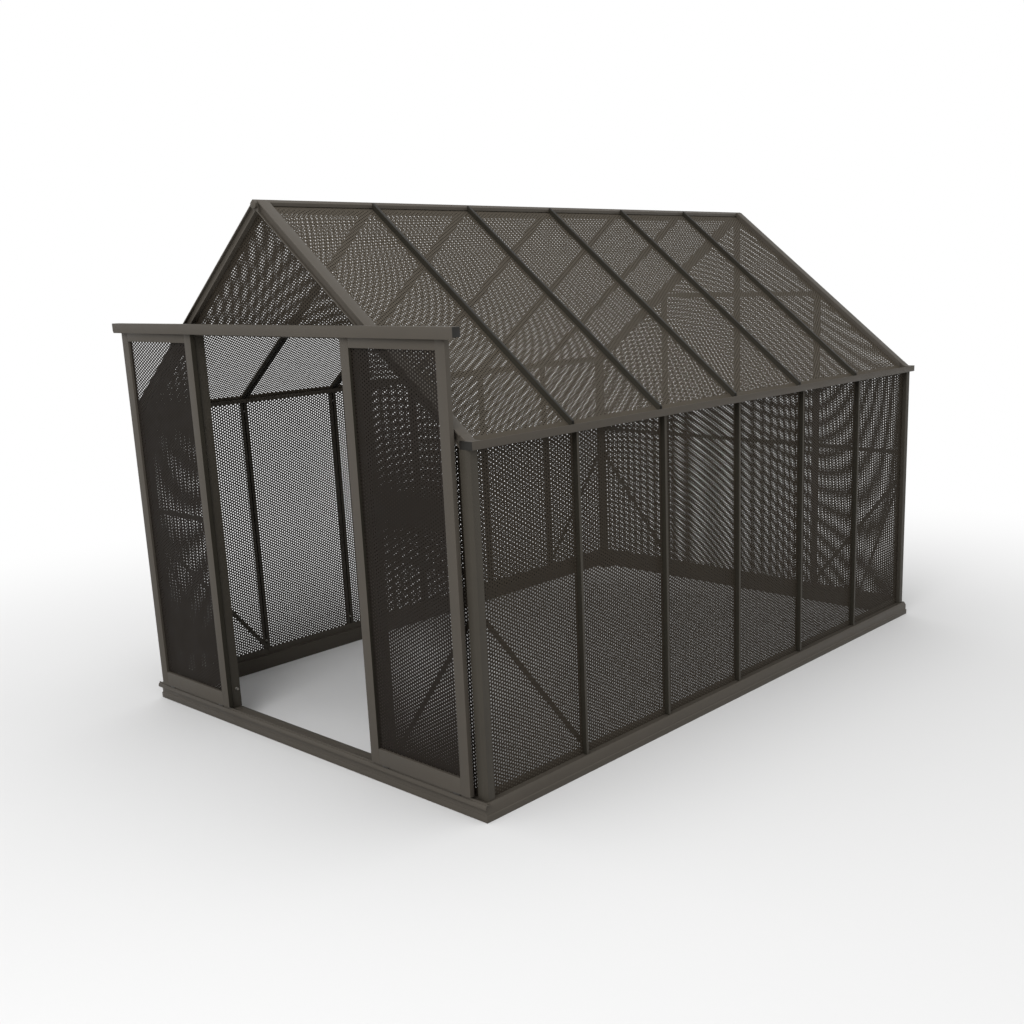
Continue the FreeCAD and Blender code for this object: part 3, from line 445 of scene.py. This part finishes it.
def pierced(outline, plain_edge, first_hole):
    """A flat sheet with staggered six-sided holes, cut to a convex outline that runs anticlockwise.

    A plain edge leaves a strip along the bottom of the sheet unpierced. The first hole's place counts from
    the sheet's lower left corner.
    """
    sheet = bpy.context.scene.shade_house_sheets
    pitch = sheet.hole_pitch
    corner = sheet.hole_width / 2
    column = pitch * ROOT_3 / 2
    land = pitch - corner * ROOT_3
    near, weld = corner / 10, corner / 20
    deselect()
    bpy.ops.mesh.primitive_circle_add(vertices=6, radius=corner, rotation=(0, 0, math.pi / 2))
    blank = bpy.context.object
    settle(blank)
    ways = [Vector((math.cos(turn), math.sin(turn), 0)) for turn in map(math.radians, (30, 90, 150))]
    for way in ways:
        side = way * corner * ROOT_3 / 2
        pick(blank, "EDGE", lambda middle: (middle - side).length < near)
        bpy.ops.mesh.extrude_edges_move(TRANSFORM_OT_translate={"value": way * land})
    for first, second in zip(ways, ways[1:]):
        tip = (first + second).normalized() * corner
        webs = (tip, tip + first * land, tip + second * land)
        pick(blank, "VERT", lambda point: any((point - web).length < near for web in webs))
        bpy.ops.mesh.edge_face_add()
    bpy.ops.object.mode_set(mode="OBJECT")
    low = Vector((min(p.x for p in outline), min(p.y for p in outline), 0))
    high = Vector((max(p.x for p in outline), max(p.y for p in outline), 0))
    pairs = math.ceil((high.x - low.x) / (2 * column)) + 3
    rows = math.ceil((high.y - low.y) / pitch) + 4
    for count, step in ((2, (column, pitch / 2, 0)), (pairs, (2 * column, 0, 0)), (rows, (0, pitch, 0))):
        repeat = blank.modifiers.new("Repeat", "ARRAY")
        repeat.count = count
        repeat.use_relative_offset = False
        repeat.use_constant_offset = True
        repeat.constant_offset_displace = step
        repeat.use_merge_vertices = True
        repeat.merge_threshold = weld
        bpy.ops.object.modifier_apply(modifier=repeat.name)
    blank.location = low + Vector((first_hole[0] - 2 * column, first_hole[1] - 2 * pitch, 0))
    settle(blank)
    bpy.ops.object.mode_set(mode="EDIT")
    bpy.ops.mesh.select_mode(type="VERT")
    bpy.ops.mesh.select_all(action="SELECT")
    bpy.ops.mesh.remove_doubles(threshold=weld)
    for start, end in zip(outline, outline[1:] + outline[:1]):
        bpy.ops.mesh.select_all(action="SELECT")
        bpy.ops.mesh.bisect(plane_co=start, plane_no=((end - start).y, (start - end).x, 0), clear_outer=True)
    if plain_edge:
        bpy.ops.mesh.select_all(action="SELECT")
        bpy.ops.mesh.bisect(plane_co=(0, plain_edge, 0), plane_no=(0, -1, 0), clear_outer=True)
    bpy.ops.object.mode_set(mode="OBJECT")
    turned = blank.data.polygons[0].normal.z < 0
    bpy.ops.object.mode_set(mode="EDIT")
    if turned:
        bpy.ops.mesh.select_all(action="SELECT")
        bpy.ops.mesh.flip_normals()
    if plain_edge:
        bpy.ops.mesh.select_all(action="DESELECT")
        bpy.ops.mesh.primitive_plane_add(size=1)
        bpy.ops.transform.resize(value=(high.x - low.x, plain_edge, 1), center_override=(0, 0, 0))
        bpy.ops.transform.translate(value=((low.x + high.x) / 2, low.y + plain_edge / 2, 0))
    bpy.ops.object.mode_set(mode="OBJECT")
    return blank


def lay_sheets(node, normal, kind, plain_edge=0, first_hole=(0, 0)):
    """Replaces every sheet of a CAD node with a finely pierced one in the same place."""
    normal = normal.normalized()
    up = (Vector((0, 0, 1)) - normal * normal.z).normalized()
    across = up.cross(normal)
    cut = {}
    for number, points in enumerate(corners(node), start=1):
        depth = sum(point.dot(normal) for point in points) / len(points)
        flat = {(round(p.dot(across), 4), round(p.dot(up), 4)) for p in points}
        base = Vector((min(p[0] for p in flat), min(p[1] for p in flat), 0))
        outline = [point - base for point in rim(flat)]
        shape = tuple(sorted((round(p.x, 3), round(p.y, 3)) for p in outline))
        if shape not in cut:
            cut[shape] = pierced(outline, plain_edge, first_hole)
        take_up(cut[shape])
        bpy.ops.object.duplicate(linked=False)
        piece = bpy.context.object
        piece.name = piece.data.name = "%s_pierced_%d" % (node, number)
        turn = Matrix((across, up, normal)).transposed().to_4x4()
        piece.matrix_world = Matrix.Translation(across * base.x + up * base.y + normal * depth) @ turn
        settle(piece)
        dress(piece, [kind], node)
    for blank in cut.values():
        bpy.data.objects.remove(blank)


def bolt_head(radius, height):
    """A hexagon head on a washer, standing on the origin along Z."""
    washer = height * 0.22
    washer_edge = washer * 0.3
    hexagon = radius * 0.86
    chamfer_width, chamfer_fall = radius * 0.16, height * 0.08
    deselect()
    bpy.ops.mesh.primitive_cylinder_add(vertices=20, radius=radius, depth=washer,
                                        location=(0, 0, washer / 2))
    ring = bpy.context.object
    settle(ring)
    pick(ring, "FACE", lambda middle: middle.z > washer * 0.9)
    bpy.ops.mesh.bevel(offset=washer_edge, segments=1)
    deselect()
    bpy.ops.mesh.primitive_cylinder_add(vertices=6, radius=hexagon, depth=height - washer,
                                        location=(0, 0, (height + washer) / 2))
    head = bpy.context.object
    settle(head)
    pick(head, "FACE", lambda middle: middle.z > height * 0.99)
    bpy.ops.mesh.inset(thickness=chamfer_width)
    bpy.ops.object.mode_set(mode="OBJECT")
    pick(head, "VERT", lambda point: point.z > height * 0.99 and point.xy.length > radius * 0.8)
    bpy.ops.transform.translate(value=(0, 0, -chamfer_fall))
    bpy.ops.object.mode_set(mode="OBJECT")
    take_up(head)
    ring.select_set(True)
    bpy.ops.object.join()
    return bpy.context.object


class SHADE_OT_base(bpy.types.Operator):
    """Round the base rails, the door sill and the ground cleats"""

    bl_idname = "shade_house.base"
    bl_label = "Base"

    def execute(self, context):
        bars = context.scene.shade_house_frame
        for node in ("base_rail_left", "base_rail_right", "base_rail_rear", "door_sill"):
            rounded(node, bars.heavy_edge, "powder_coated_extrusion")
        rounded("ground_cleats", bars.light_edge, "zinc_plated_steel")
        return {"FINISHED"}


class SHADE_OT_uprights(bpy.types.Operator):
    """Round the posts, the wall and gable bars, the jambs, the strips and the braces"""

    bl_idname = "shade_house.uprights"
    bl_label = "Uprights"

    def execute(self, context):
        bars = context.scene.shade_house_frame
        for end in ("front", "rear"):
            for side in SIDES:
                rounded("corner_post_%s_%s" % (end, side), bars.heavy_edge, "powder_coated_glazing_bar")
        for side in SIDES:
            rounded("door_jamb_" + side, bars.heavy_edge, "powder_coated_glazing_bar")
            rounded("wall_bars_" + side, bars.light_edge, "powder_coated_glazing_bar",
                    shaded_axis=1)
        rounded("rear_gable_bars", bars.light_edge, "powder_coated_glazing_bar", shaded_axis=0)
        for node in ("waist_strips", "wind_braces"):
            rounded(node, bars.light_edge, "powder_coated_glazing_bar")
        return {"FINISHED"}


class SHADE_OT_roof_frame(bpy.types.Operator):
    """Round the gutters, the ridge, the rafters, the roof bars and the gable rails"""

    bl_idname = "shade_house.roof_frame"
    bl_label = "Roof frame"

    def execute(self, context):
        bars = context.scene.shade_house_frame
        for node in ("ridge_beam", "end_rafter_front_left", "end_rafter_front_right",
                     "end_rafter_rear_left", "end_rafter_rear_right"):
            rounded(node, bars.heavy_edge, "powder_coated_extrusion")
        for node in ("eaves_beam_left", "eaves_beam_right", "rafter_feet", "rear_gable_rail",
                     "front_gable_rail"):
            rounded(node, bars.light_edge, "powder_coated_extrusion")
        for side in SIDES:
            rounded("roof_bars_" + side, bars.light_edge, "extruded_pvc_capping", shaded_axis=1)
        return {"FINISHED"}


class SHADE_OT_end_caps(bpy.types.Operator):
    """Round the moulded caps on the gutters, the ridge and the header"""

    bl_idname = "shade_house.end_caps"
    bl_label = "End caps"

    def execute(self, context):
        edge = context.scene.shade_house_frame.light_edge
        for node in ("eaves_end_caps", "header_end_caps"):
            rounded(node, edge, "moulded_polypropylene")
        rounded("ridge_end_caps", edge, "tinted_polypropylene")
        return {"FINISHED"}


class SHADE_OT_door_frames(bpy.types.Operator):
    """Round the stiles and rails of both doors"""

    bl_idname = "shade_house.door_frames"
    bl_label = "Door frames"

    def execute(self, context):
        edge = context.scene.shade_house_frame.heavy_edge
        for side in SIDES:
            for bar in ("outer_stile", "top_rail", "bottom_rail"):
                rounded("%s_door_%s" % (side, bar), edge, "powder_coated_extrusion")
            rounded(side + "_door_inner_stile", edge, "powder_coated_extrusion", shaded_axis=0)
        return {"FINISHED"}


class SHADE_OT_running_gear(bpy.types.Operator):
    """Round the header track, the sill guide, the hangers, the shoes and the rollers"""

    bl_idname = "shade_house.running_gear"
    bl_label = "Running gear"

    def execute(self, context):
        bars = context.scene.shade_house_frame
        rounded("door_header_track", bars.heavy_edge, "powder_coated_extrusion")
        rounded("sill_guide", bars.light_edge, "powder_coated_extrusion")
        rounded("header_spacers", bars.light_edge, "powder_coated_extrusion")
        for side in SIDES:
            rounded(side + "_door_hangers", bars.light_edge, "zinc_plated_steel")
            rounded(side + "_door_shoes", bars.light_edge, "turned_nylon")
            for end in ("inner", "outer"):
                rounded("%s_door_roller_%s" % (side, end), bars.light_edge, "turned_nylon")
        return {"FINISHED"}


class SHADE_OT_bolts(bpy.types.Operator):
    """Set a hexagon head and washer on every bolt seat"""

    bl_idname = "shade_house.bolts"
    bl_label = "Bolts"

    def execute(self, context):
        middle = (cad_box[0] + cad_box[1]) / 2
        heads = []
        for points in corners("frame_bolts"):
            low = Vector([min(point[axis] for point in points) for axis in range(3)])
            high = Vector([max(point[axis] for point in points) for axis in range(3)])
            span = high - low
            axis = min(range(3), key=lambda index: span[index])
            inward = Vector([0, 0, 0])
            inward[axis] = 1 if (low + high)[axis] / 2 < middle[axis] else -1
            seat = (low + high) / 2 - inward * span[axis] / 2
            head = bolt_head(max(span) / 2, span[axis])
            turn = Vector((0, 0, 1)).rotation_difference(inward).to_matrix().to_4x4()
            head.matrix_world = Matrix.Translation(seat) @ turn
            settle(head)
            heads.append(head)
        take_up(heads[0])
        for head in heads:
            head.select_set(True)
        bpy.ops.object.join()
        piece = bpy.context.object
        piece.name = piece.data.name = "hexagon_bolt_heads"
        dress(piece, ["zinc_plated_steel"], "frame_bolts")
        return {"FINISHED"}


class SHADE_OT_wall_sheets(bpy.types.Operator):
    """Pierce the sheets of both side walls"""

    bl_idname = "shade_house.wall_sheets"
    bl_label = "Wall sheets"

    def execute(self, context):
        lay_sheets("wall_panels_right", Vector((1, 0, 0)), "powder_coated_punched_sheet")
        lay_sheets("wall_panels_left", Vector((-1, 0, 0)), "powder_coated_punched_sheet")
        return {"FINISHED"}


class SHADE_OT_roof_sheets(bpy.types.Operator):
    """Pierce the sheets of both roof slopes"""

    bl_idname = "shade_house.roof_sheets"
    bl_label = "Roof sheets"

    def execute(self, context):
        low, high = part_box("roof_panels_right")
        fall = math.atan2(high.z - low.z, high.x - low.x)
        edge = context.scene.shade_house_sheets.plain_edge
        for side, way in (("right", 1), ("left", -1)):
            lay_sheets("roof_panels_" + side, Vector((way * math.sin(fall), 0, math.cos(fall))),
                       "powder_coated_roof_sheet", edge)
        return {"FINISHED"}


class SHADE_OT_gable_sheets(bpy.types.Operator):
    """Pierce the sheets of both gables"""

    bl_idname = "shade_house.gable_sheets"
    bl_label = "Gable sheets"

    def execute(self, context):
        lay_sheets("front_gable_panels", Vector((0, -1, 0)), "powder_coated_punched_sheet")
        lay_sheets("rear_gable_panels", Vector((0, 1, 0)), "powder_coated_punched_sheet")
        return {"FINISHED"}


class SHADE_OT_door_sheets(bpy.types.Operator):
    """Pierce the sheets of both doors"""

    bl_idname = "shade_house.door_sheets"
    bl_label = "Door sheets"

    def execute(self, context):
        for side in SIDES:
            lay_sheets(side + "_door_panel", Vector((0, -1, 0)), "powder_coated_door_sheet",
                       first_hole=DOOR_PUNCHING[side])
        return {"FINISHED"}


FLOOR_WIDTH = 60
# The floor runs out into white between these distances from this place in front of the house.
FADE_CENTRE = (1.2, -1.4, 0)
FADE = {"From Min": 2.8, "From Max": 7.0}
# Each lamp's setting, place and width. They all point at this place in the middle of the house.
LAMPS = {"key_lamp": ("key", (3.0, -7.5, 6.5), 5.0),
         "overhead_soft_box": ("overhead", (0.5, -1.0, 8.5), 6.0)}
LAMP_AIM = Vector((0, 0, 1.0))
SENSOR_WIDTH = 36


class SHADE_OT_stage(bpy.types.Operator):
    """Lay the floor and set the light and the camera"""

    bl_idname = "shade_house.stage"
    bl_label = "Stage"

    def execute(self, context):
        stage = context.scene.shade_house_stage
        deselect()
        bpy.ops.mesh.primitive_plane_add(size=FLOOR_WIDTH)
        floor = context.object
        floor.name = "studio_floor"
        # Matt floor paint: an even white that takes a soft shadow and runs out into the white room.
        paint, tree = blank_material("matt_floor_paint")
        place = add(tree, "ShaderNodeTexCoord").outputs["Object"]
        front = add(tree, "ShaderNodeVectorMath", {0: place, 1: FADE_CENTRE}, operation="SUBTRACT")
        away = add(tree, "ShaderNodeVectorMath", {0: front.outputs["Vector"]}, operation="LENGTH")
        fade = add(tree, "ShaderNodeMapRange", {"Value": away.outputs["Value"], **FADE},
                   interpolation_type="SMOOTHSTEP")
        path = add(tree, "ShaderNodeLightPath")
        bright = add(tree, "ShaderNodeMath", {0: fade.outputs[0], 1: seen_rays(tree, path)},
                     operation="MULTIPLY")
        matt = add(tree, "ShaderNodeBsdfDiffuse", {"Color": stage.floor})
        white = add(tree, "ShaderNodeEmission", {"Color": (1, 1, 1, 1), "Strength": 1.0})
        shader = add(tree, "ShaderNodeMixShader", {0: bright.outputs[0], 1: matt.outputs[0],
                                                   2: white.outputs[0]})
        add(tree, "ShaderNodeOutputMaterial", {"Surface": shader.outputs[0]})
        floor.data.materials.append(paint)

        world = bpy.data.worlds.new("studio_room")
        context.scene.world = world
        world.use_nodes = True
        tree = world.node_tree
        tree.nodes.clear()
        level = add(tree, "ShaderNodeMapRange", {"Value": seen_rays(tree, add(tree, "ShaderNodeLightPath")),
                                                 "To Min": stage.sky, "To Max": 1.0})
        room = add(tree, "ShaderNodeBackground", {"Color": (1, 1, 1, 1), "Strength": level.outputs[0]})
        add(tree, "ShaderNodeOutputWorld", {"Surface": room.outputs[0]})

        for name, (power, place, width) in LAMPS.items():
            bpy.ops.object.light_add(type="AREA", location=place)
            lamp = context.object
            lamp.name = name
            lamp.data.shape = "DISK"
            lamp.data.size = width
            lamp.data.energy = getattr(stage, power)
            aim = LAMP_AIM - lamp.location
            lamp.rotation_euler = aim.to_track_quat("-Z", "Y").to_euler()

        bpy.ops.object.camera_add(location=stage.eye)
        camera = context.object
        camera.name = "studio_camera"
        look = (Matrix.Rotation(stage.turn, 3, "Z") @ Matrix.Rotation(math.pi / 2 - stage.dip, 3, "X")
                @ Matrix.Rotation(stage.roll, 3, "Z"))
        camera.rotation_euler = look.to_euler()
        camera.data.sensor_width = SENSOR_WIDTH
        camera.data.lens = stage.focal
        camera.data.shift_x = stage.aside
        camera.data.shift_y = stage.above
        context.scene.camera = camera
        context.scene.view_settings.view_transform = "Standard"
        return {"FINISHED"}


STEPS = (SHADE_OT_base, SHADE_OT_uprights, SHADE_OT_roof_frame, SHADE_OT_end_caps, SHADE_OT_door_frames,
         SHADE_OT_running_gear, SHADE_OT_bolts, SHADE_OT_wall_sheets, SHADE_OT_roof_sheets,
         SHADE_OT_gable_sheets, SHADE_OT_door_sheets, SHADE_OT_stage)
SETTINGS = {"shade_house_sheets": ShadeHouseSheets, "shade_house_frame": ShadeHouseFrame,
            "shade_house_stage": ShadeHouseStage}


class SHADE_PT_panel(bpy.types.Panel):
    """Lists the steps that build the house, with the sizes and colours they use"""

    bl_idname = "SHADE_PT_panel"
    bl_label = "Shade House"
    bl_space_type = "VIEW_3D"
    bl_region_type = "UI"
    bl_category = "Shade House"

    def draw(self, context):
        column = self.layout.column()
        for step in STEPS:
            column.operator(step.bl_idname)
        for name in SETTINGS:
            column.separator()
            for key in SETTINGS[name].__annotations__:
                column.prop(getattr(context.scene, name), key)


def register():
    for group in SETTINGS.values():
        bpy.utils.register_class(group)
    for name, group in SETTINGS.items():
        setattr(bpy.types.Scene, name, bpy.props.PointerProperty(type=group))
    for step in STEPS:
        bpy.utils.register_class(step)
    bpy.utils.register_class(SHADE_PT_panel)


def unregister():
    bpy.utils.unregister_class(SHADE_PT_panel)
    for step in reversed(STEPS):
        bpy.utils.unregister_class(step)
    for name in SETTINGS:
        delattr(bpy.types.Scene, name)
    for group in reversed(list(SETTINGS.values())):
        bpy.utils.unregister_class(group)


def main():
    register()
    bpy.ops.shade_house.stage()
    bpy.ops.shade_house.base()
    bpy.ops.shade_house.uprights()
    bpy.ops.shade_house.roof_frame()
    bpy.ops.shade_house.end_caps()
    bpy.ops.shade_house.door_frames()
    bpy.ops.shade_house.running_gear()
    bpy.ops.shade_house.bolts()
    bpy.ops.shade_house.wall_sheets()
    bpy.ops.shade_house.roof_sheets()
    bpy.ops.shade_house.gable_sheets()
    bpy.ops.shade_house.door_sheets()


if __name__ == "__main__":
    main()
